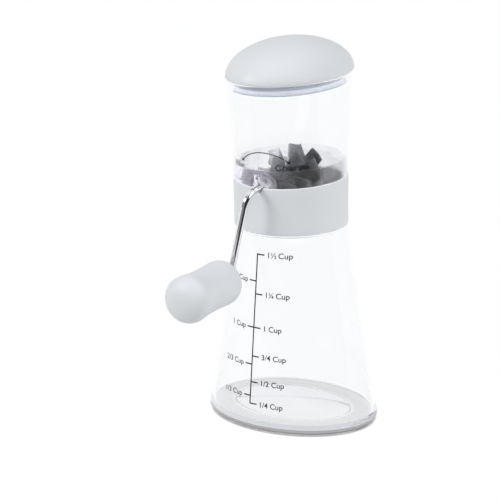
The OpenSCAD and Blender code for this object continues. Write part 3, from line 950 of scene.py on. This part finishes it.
def print_on(name, marks, wall, body):
    """Join marks into one print, lay it on a wall and let it ride with a body."""
    pick(marks[0])
    for mark in marks:
        mark.select_set(True)
    bpy.ops.object.join()
    printed = bpy.context.object
    printed.name = name
    wrap = printed.modifiers.new("on_the_wall", "SHRINKWRAP")
    wrap.target = wall
    wrap.wrap_method = "PROJECT"
    wrap.wrap_mode = "ABOVE_SURFACE"
    wrap.use_project_y = True
    wrap.use_positive_direction = True
    wrap.use_negative_direction = False
    wrap.offset = ink_lift * MM
    bpy.ops.object.modifier_apply(modifier=wrap.name)
    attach(printed, body)
    measure(printed)
    return printed


# %% Cup scale on the jar
scale_x = (-2.6, -5.6)
scale_z = (96.6, 15.2)
tick_l = 4.2
label_gap = 1.3
label_size = 4.2
small_size = 4.0
label_weight = 0.05
# words, height, share of the usual gap between the words
RIGHT_LABELS = [("1½ Cup", 96.6, 0.4), ("1¼ Cup", 75.2, 0.4), ("1 Cup", 57, 1),
                ("3/4 Cup", 41.3, 1), ("1/2 Cup", 27.1, 1), ("1/4 Cup", 15.2, 1)]
LEFT_LABELS = [("1 1/3 Cup", 82.1), ("1 Cup", 57), ("2/3 Cup", 36.7), ("1/3 Cup", 19.4)]


def scale_line_x(z):
    """Where the scale's upright line is at a height."""
    return blend(scale_x[0], scale_x[1], (scale_z[0] - z) / (scale_z[0] - scale_z[1]))


marks = []
line_z = steps(scale_z[0] + line_w / 2, scale_z[1] - line_w / 2, 40)
for z1, z2 in zip(line_z, line_z[1:]):
    marks.append(strip(scale_line_x((z1 + z2) / 2), (z1 + z2) / 2, line_w, z1 - z2, 1))
for label, z, gap in RIGHT_LABELS:
    marks.append(strip(scale_line_x(z) + tick_l / 2, z, tick_l, line_w, 6))
    marks.append(word(label, scale_line_x(z) + tick_l + label_gap, z, label_size,
                      weight=label_weight, gap=gap))
for label, z in LEFT_LABELS:
    marks.append(strip(scale_line_x(z) - tick_l / 2, z, tick_l, line_w, 6))
    marks.append(word(label, scale_line_x(z) - tick_l - label_gap, z, small_size, side="RIGHT",
                      weight=label_weight))
cup_scale = print_on("cup_scale", marks, jar, "jar")

# %% Fine and coarse arc on the hopper
arc_centre = (3.65, 135.4)
arc_r = 16.9
arc_half = 46
arc_w = 0.5
arc_steps = 40
dash_overlap = 1.05
dash_l = 2 * arc_r * math.radians(arc_half) / arc_steps * dash_overlap
arrow_size = 1.2
# words, place of their left end across, height, size, how much bolder
ARC_WORDS = [("Fine", -15.2, 143.9, 4.4, 0), ("Coarse", 9.6, 144.2, 4.6, 0.1)]


def on_arc(angle):
    """The place across and the height of a point on the arc, at an angle from its top."""
    return arc_centre[0] + arc_r * math.sin(angle), arc_centre[1] + arc_r * math.cos(angle)


marks = []
for i in range(arc_steps):
    angle = math.radians(blend(-arc_half, arc_half, (i + 0.5) / arc_steps))
    dash = strip(0, 0, dash_l, arc_w, 1)
    x, z = on_arc(angle)
    spot = Vector((x, 0, z)) * MM
    dash.data.transform(Matrix.Translation(spot) @ Matrix.Rotation(angle, 4, "Y"))
    marks.append(dash)
for end in (-1, 1):
    angle = math.radians(arc_half) * end
    marks.append(arrowhead(*on_arc(angle), angle - end * math.radians(90), arrow_size))
for label, x, z, size, weight in ARC_WORDS:
    marks.append(word(label, x, z, size, weight=weight))
direction_arc = print_on("fine_coarse_arc", marks, hopper, "hopper")

# %% [markdown]
# ## Finishes
#
# Moulded plastic is never quite even: its gloss drifts over the surface and very fine waves break
# up the reflections. One node group makes both from noise on Object coordinates, and every
# plastic uses it with its own values. A second group stretches noise into the fine lines of drawn
# wire and brushed sheet.

# %% Group for moulded plastic
def new_group(name, inputs, outputs):
    """A shader node group with named sockets, and its two end nodes."""
    group = bpy.data.node_groups.new(name, "ShaderNodeTree")
    for label, value in inputs.items():
        kind = "NodeSocketVector" if isinstance(value, tuple) else "NodeSocketFloat"
        socket = group.interface.new_socket(name=label, in_out="INPUT", socket_type=kind)
        socket.default_value = value
    for label, kind in outputs.items():
        group.interface.new_socket(name=label, in_out="OUTPUT", socket_type=kind)
    return group, group.nodes.new("NodeGroupInput"), group.nodes.new("NodeGroupOutput")


moulded, start, end = new_group(
    "moulded_skin",
    {"Gloss From": 0.3, "Gloss To": 0.4, "Patch Scale": 60.0, "Grain Scale": 1500.0,
     "Grain Depth": 0.1},
    {"Roughness": "NodeSocketFloat", "Normal": "NodeSocketVector"})
spot = add_node(moulded, "TexCoord")
patches = add_node(moulded, "TexNoise", Detail=3.0)
gloss = add_node(moulded, "MapRange", From_Min=0.3, From_Max=0.7)
grain = add_node(moulded, "TexNoise", Detail=2.0)
bump = add_node(moulded, "Bump", Distance=0.1 * MM)
link(spot, "Object", patches, "Vector")
link(spot, "Object", grain, "Vector")
link(start, "Patch Scale", patches, "Scale")
link(start, "Grain Scale", grain, "Scale")
link(patches, "Fac", gloss, "Value")
link(start, "Gloss From", gloss, "To Min")
link(start, "Gloss To", gloss, "To Max")
link(start, "Grain Depth", bump, "Strength")
link(grain, "Fac", bump, "Height")
link(gloss, 0, end, "Roughness")
link(bump, "Normal", end, "Normal")
print(moulded.name, "nodes:", len(moulded.nodes))

# %% Group for drawn and brushed metal
brushed, start, end = new_group(
    "drawn_lines",
    {"Stretch": (1.0, 1.0, 1.0), "Gloss From": 0.1, "Gloss To": 0.2, "Line Depth": 0.1,
     "Cloud Stretch": (30.0, 30.0, 30.0)},
    {"Clouds": "NodeSocketFloat", "Roughness": "NodeSocketFloat", "Normal": "NodeSocketVector"})
spot = add_node(brushed, "TexCoord")
stretch = add_node(brushed, "Mapping")
lines = add_node(brushed, "TexNoise", Scale=100.0, Detail=4.0)
gloss = add_node(brushed, "MapRange", From_Min=0.3, From_Max=0.7)
bump = add_node(brushed, "Bump", Distance=0.05 * MM)
spread = add_node(brushed, "Mapping")
clouds = add_node(brushed, "TexNoise", Scale=1.0, Detail=0.0)
tone = add_node(brushed, "MapRange", From_Min=0.38, From_Max=0.62)
link(spot, "Object", spread, "Vector")
link(start, "Cloud Stretch", spread, "Scale")
link(spread, 0, clouds, "Vector")
link(clouds, "Fac", tone, "Value")
link(spot, "Object", stretch, "Vector")
link(start, "Stretch", stretch, "Scale")
link(stretch, 0, lines, "Vector")
link(lines, "Fac", gloss, "Value")
link(start, "Gloss From", gloss, "To Min")
link(start, "Gloss To", gloss, "To Max")
link(start, "Line Depth", bump, "Strength")
link(lines, "Fac", bump, "Height")
link(tone, 0, end, "Clouds")
link(gloss, 0, end, "Roughness")
link(bump, "Normal", end, "Normal")
print(brushed.name, "nodes:", len(brushed.nodes))

# %% [markdown]
# The opaque plastics are pale greys that differ by a trace of blue. The clear ones are glass-like
# with the index of clear plastic. Lamps would throw hard dark shadows through such glass, so a
# shadow ray passes it as through a thin film. So does a ray that has been bent a few times already:
# it would only lose its way between the walls and come out black. The plastic itself takes a little
# light away over the length of the path: that is what makes its edges grey.

# %% Plastic finishes
plastic_ior = 1.5
SOFT_MIRROR = (0.4, 0.4, 0.4, 1)


def new_finish(name, group, **values):
    """A material whose roughness and normal come from a group, with the group's values set."""
    finish = bpy.data.materials.new(name)
    finish.use_nodes = True
    tree = finish.node_tree
    shader = tree.nodes["Principled BSDF"]
    skin = add_node(tree, "Group")
    skin.node_tree = group
    put(skin, **values)
    link(skin, "Roughness", shader, "Roughness")
    link(skin, "Normal", shader, "Normal")
    return finish, shader, skin


def opaque_plastic(name, colour, **skin):
    """A moulded plastic that light doesn't pass."""
    finish, shader, _ = new_finish(name, moulded, **skin)
    put(shader, Base_Color=colour, IOR=plastic_ior)
    return finish


def clear_plastic(name, colour, film, depth, density, bends=3, clearness=1, **skin):
    """A moulded plastic that light passes.

    Film is what a shadow keeps, depth and density colour the light inside, and a ray is followed
    for a number of bends: an odd number counts the way into and out of each wall, from 0.
    """
    finish, shader, _ = new_finish(name, moulded, **skin)
    put(shader, Base_Color=colour, Transmission_Weight=clearness, IOR=plastic_ior,
        Specular_Tint=SOFT_MIRROR)
    tree = finish.node_tree
    path = add_node(tree, "LightPath")
    lost = calculate(tree, "GREATER_THAN", bends + 0.5)
    straight = calculate(tree, "MAXIMUM")
    straight.name = "straight"
    thin = add_node(tree, "BsdfTransparent", Color=film)
    mix = add_node(tree, "MixShader")
    mix.name = "film_or_glass"
    inside = add_node(tree, "VolumeAbsorption", Color=depth, Density=density)
    out = tree.nodes["Material Output"]
    link(path, "Ray Depth", lost, 0)
    link(path, "Is Shadow Ray", straight, 0)
    link(lost, 0, straight, 1)
    link(straight, 0, mix, 0)
    link(shader, 0, mix, 1)
    link(thin, 0, mix, 2)
    link(mix, 0, out, "Surface")
    link(inside, 0, out, "Volume")
    return finish


finishes = {
    "pale_plastic": opaque_plastic(
        "pale_grey_plastic", (0.71, 0.73, 0.745, 1), Gloss_From=0.4, Gloss_To=0.5,
        Patch_Scale=45, Grain_Scale=1800, Grain_Depth=0.05),
    "comb_plastic": opaque_plastic(
        "pale_comb_plastic", (0.74, 0.75, 0.76, 1), Gloss_From=0.35, Gloss_To=0.45,
        Patch_Scale=80, Grain_Scale=2500, Grain_Depth=0.05),
    "clear_plastic": clear_plastic(
        "crystal_clear_plastic", (0.985, 0.99, 0.995, 1), (0.97, 0.97, 0.975, 1),
        (0.95, 0.953, 0.957, 1), 110, Gloss_From=0.0, Gloss_To=0.02,
        Patch_Scale=30, Grain_Scale=90, Grain_Depth=0.02),
    "foot_plastic": clear_plastic(
        "soft_foot_plastic", (0.97, 0.97, 0.97, 1), (0.95, 0.95, 0.955, 1),
        (0.86, 0.857, 0.862, 1), 430, bends=5, Gloss_From=0.01, Gloss_To=0.05,
        Patch_Scale=50, Grain_Scale=600, Grain_Depth=0.04),
    "smoke_plastic": clear_plastic(
        "smoke_tinted_plastic", WHITE, (0.97, 0.97, 0.975, 1),
        (0.85, 0.84, 0.88, 1), 40, clearness=0.96, Gloss_From=0.02, Gloss_To=0.06,
        Patch_Scale=60, Grain_Scale=300, Grain_Depth=0.03),
    "bush_plastic": clear_plastic(
        "natural_bush_plastic", (0.84, 0.84, 0.85, 1), (0.9, 0.9, 0.9, 1),
        (0.8, 0.8, 0.8, 1), 60, clearness=0.7, Gloss_From=0.2, Gloss_To=0.3,
        Patch_Scale=120, Grain_Scale=3000, Grain_Depth=0.05),
    "seal_plastic": clear_plastic(
        "blue_grey_seal", (0.82, 0.86, 0.93, 1), (0.93, 0.94, 0.96, 1),
        (0.8, 0.84, 0.9, 1), 60, clearness=0.45, Gloss_From=0.08, Gloss_To=0.16,
        Patch_Scale=90, Grain_Scale=1200, Grain_Depth=0.05),
}
print("plastics:", ", ".join(sorted(finishes)))

# %% [markdown]
# The chamber's smoke tint and its slight haze are strong at the front and fade to clear behind the
# rotor. In the photograph they also clear up in a window where the wheels are seen through the wall.

# %% Fading tint of the chamber
SMOKE = (0.79, 0.76, 0.84, 1)
fade_y = (-16 * MM, 4 * MM)
window_middle = 1.5 * MM
window_half = (12 * MM, 15.5 * MM)
rear_film = 0.95

tree = finishes["smoke_plastic"].node_tree
shader = tree.nodes["Principled BSDF"]
spot = add_node(tree, "TexCoord")
axes = add_node(tree, "SeparateXYZ")
rear = add_node(tree, "MapRange", From_Min=fade_y[0], From_Max=fade_y[1])
across = add_node(tree, "VectorMath")
across.operation = "DOT_PRODUCT"
across.inputs[1].default_value = (math.cos(azimuth), math.sin(azimuth), 0)
from_middle = calculate(tree, "SUBTRACT", window_middle)
distance = calculate(tree, "ABSOLUTE")
window = add_node(tree, "MapRange", From_Min=window_half[1], From_Max=window_half[0])
fade = calculate(tree, "MAXIMUM")
link(spot, "Object", across, 0)
link(across, "Value", from_middle, 0)
link(from_middle, 0, distance, 0)
link(distance, 0, window, "Value")
link(rear, 0, fade, 0)
link(window, 0, fade, 1)
tint = shade(tree, SMOKE, WHITE)
link(spot, "Object", axes, 0)
link(axes, "Y", rear, "Value")
link(fade, 0, tint, "Factor")
link(tint, "Result", shader, "Base Color")
faint = calculate(tree, "MULTIPLY", rear_film)
straight = tree.nodes["straight"]
either = calculate(tree, "MAXIMUM")
link(fade, 0, faint, 0)
link(faint, 0, either, 0)
link(straight, 0, either, 1)
link(either, 0, tree.nodes["film_or_glass"], 0)
print("smoke tint fades from", SMOKE[:3])

# %% [markdown]
# The seal is one soft moulding, but its lips catch more or less light: it looks banded from a dark
# lower edge over a pale lip to a grey groove under the lid. The foot is much the same: shaded dark
# along its lower edge and under the jar, clear between. A colour ramp over the height paints this
# light and shade into the colour of both, over the seal's own blue-grey, and its bands are placed so
# that the level faces stay clear.

# %% Painted light and shade bands of seal and foot
# height in millimetres, colour with painted light and shade
SEAL_LIGHT_AND_SHADE_BANDS = [(groove_low_z, (0.2, 0.2, 0.22, 1)), (groove_low_z + 0.6, (0.47, 0.49, 0.54, 1)),
              (groove_low_z + 2.1, (0.62, 0.65, 0.71, 1)), (groove_low_z + 2.8, (0.4, 0.43, 0.5, 1)),
              (groove_low_z + 3.9, (0.34, 0.36, 0.4, 1)), (seal_top_z, (0.29, 0.31, 0.34, 1))]
CLEAR_FOOT = (0.97, 0.97, 0.97, 1)
# painted shade along the foot's lower edge and under the jar
PAINTED_EDGE_SHADE = (0.5, 0.495, 0.5, 1)
PAINTED_UNDER_JAR_SHADE = (0.6, 0.595, 0.6, 1)
FOOT_SHADE_BANDS = [(0, CLEAR_FOOT), (0.1, CLEAR_FOOT), (0.2, PAINTED_EDGE_SHADE), (0.4, PAINTED_EDGE_SHADE),
              (0.7, CLEAR_FOOT), (3.2, CLEAR_FOOT), (3.4, PAINTED_UNDER_JAR_SHADE), (3.65, PAINTED_UNDER_JAR_SHADE),
              (3.85, CLEAR_FOOT), (FOOT_H, CLEAR_FOOT)]


def colour_ramp(tree, axis, stops):
    """A ramp through stops of (place in millimetres, colour) along an axis of the object."""
    low, high = stops[0][0], stops[-1][0]
    spot = add_node(tree, "TexCoord")
    axes = add_node(tree, "SeparateXYZ")
    share = add_node(tree, "MapRange", From_Min=low * MM, From_Max=high * MM)
    ramp = add_node(tree, "ValToRGB")
    for _ in stops[2:]:
        ramp.color_ramp.elements.new(0.5)
    for stop, (place, colour) in zip(ramp.color_ramp.elements, stops):
        stop.position = (place - low) / (high - low)
        stop.color = colour
    link(spot, "Object", axes, 0)
    link(axes, axis, share, "Value")
    link(share, 0, ramp, 0)
    return ramp


for slot, bands in (("seal_plastic", SEAL_LIGHT_AND_SHADE_BANDS), ("foot_plastic", FOOT_SHADE_BANDS)):
    tree = finishes[slot].node_tree
    link(colour_ramp(tree, "Z", bands), "Color", tree.nodes["Principled BSDF"], "Base Color")
    print(slot, "bands:", len(bands))

# %% [markdown]
# The wire is bright chrome, with almost no drawing lines left. The wheels and the small steel
# pieces are plain sheet: darker, with lines along the sheet that scatter the light across them.

# %% Metal finishes
def metal(name, dark, light, bare, **values):
    """A metal whose colour drifts from dark to light, and how far it is bare of a dull skin."""
    finish, shader, skin = new_finish(name, brushed, **values)
    tree = finish.node_tree
    put(shader, Metallic=bare)
    tint = shade(tree, dark, light)
    link(skin, "Clouds", tint, "Factor")
    link(tint, "Result", shader, "Base Color")
    return finish


finishes["chromed_wire"] = metal("bright_chrome", (0.7, 0.7, 0.72, 1), (0.8, 0.8, 0.82, 1), 1,
                                 Stretch=(8, 0.6, 0.6), Gloss_From=0.04, Gloss_To=0.09, Line_Depth=0.02)
finishes["wheel_steel"] = metal("stamped_steel", (0.7, 0.7, 0.72, 1), WHITE, 0.5,
                                Stretch=(3, 20, 30), Gloss_From=0.2, Gloss_To=0.3, Line_Depth=0.04,
                                Cloud_Stretch=(40, 130, 40))
print("metals: chromed_wire, wheel_steel")

# %% [markdown]
# The tines are not quite flat, so they catch the light differently: those on the left are pale, those
# on the right dark. A colour ramp across the rotor paints this light and shade into their colour, as
# a painted highlight on the left and painted shade on the right.

# %% Painted light and shade on the wheels
# place across the rotor in millimetres, tone of the painted light and shade
WHEEL_PAINTED_LIGHT = [(-9, 0.45), (-5, 0.55), (-2.8, 0.6), (-1.6, 0.24),
               (1, 0.21), (4, 0.15), (8, 0.08), (13, 0.1)]
steel_blue = 1.05

tree = finishes["wheel_steel"].node_tree
shader = tree.nodes["Principled BSDF"]
# the steel's own colour is multiplied by the painted light and shade of the ramp
painted_light_mix = shade(tree, WHITE, WHITE)
painted_light_mix.blend_type = "MULTIPLY"
put(painted_light_mix, Factor=1)
painted_light_ramp = colour_ramp(tree, "X", [(x, (tone, tone, tone * steel_blue, 1)) for x, tone in WHEEL_PAINTED_LIGHT])
tree.links.new(shader.inputs["Base Color"].links[0].from_socket, painted_light_mix.inputs["A"])
link(painted_light_ramp, "Color", painted_light_mix, "B")
link(painted_light_mix, "Result", shader, "Base Color")
print("wheel tones:", len(WHEEL_PAINTED_LIGHT))

# %% Printing ink
INK_BLACK = (0.012, 0.012, 0.013, 1)
ink_shine = 0.15

ink, shader, _ = new_finish("black_ink", moulded, Gloss_From=0.4, Gloss_To=0.6, Patch_Scale=400,
                            Grain_Scale=4000, Grain_Depth=0.1)
put(shader, Base_Color=INK_BLACK, Specular_IOR_Level=ink_shine)
for printed in (cup_scale, direction_arc):
    printed.data.materials.clear()
    printed.data.materials.append(ink)
print("ink on", cup_scale.name, "and", direction_arc.name)

# %% [markdown]
# ## Dressing the pieces
#
# Each solid names a material slot in the part's record, and so does each new piece. A solid that
# stays in view keeps its mesh and only gets the finish of its slot.

# %% Finishes on every piece
slot_of = {part["node"]: part["material_slot"] for part in frame["record"]["subparts"]}
new_pieces = {"container": jar, "base_foot": foot, "collar": collar, "chopping_chamber": chamber,
              "hopper": hopper, "lid": lid, "lid_gasket": seal, "crank_rod": crank, "knob": knob}
new_pieces.update({node: bpy.data.objects["stamped_" + node] for node, *_ in WHEELS})
for node, solid in nodes.items():
    dressed = new_pieces.get(node, solid)
    dressed.data.materials.clear()
    dressed.data.materials.append(finishes[slot_of[node]])
print("dressed:", len(nodes), "of them new:", len(new_pieces))
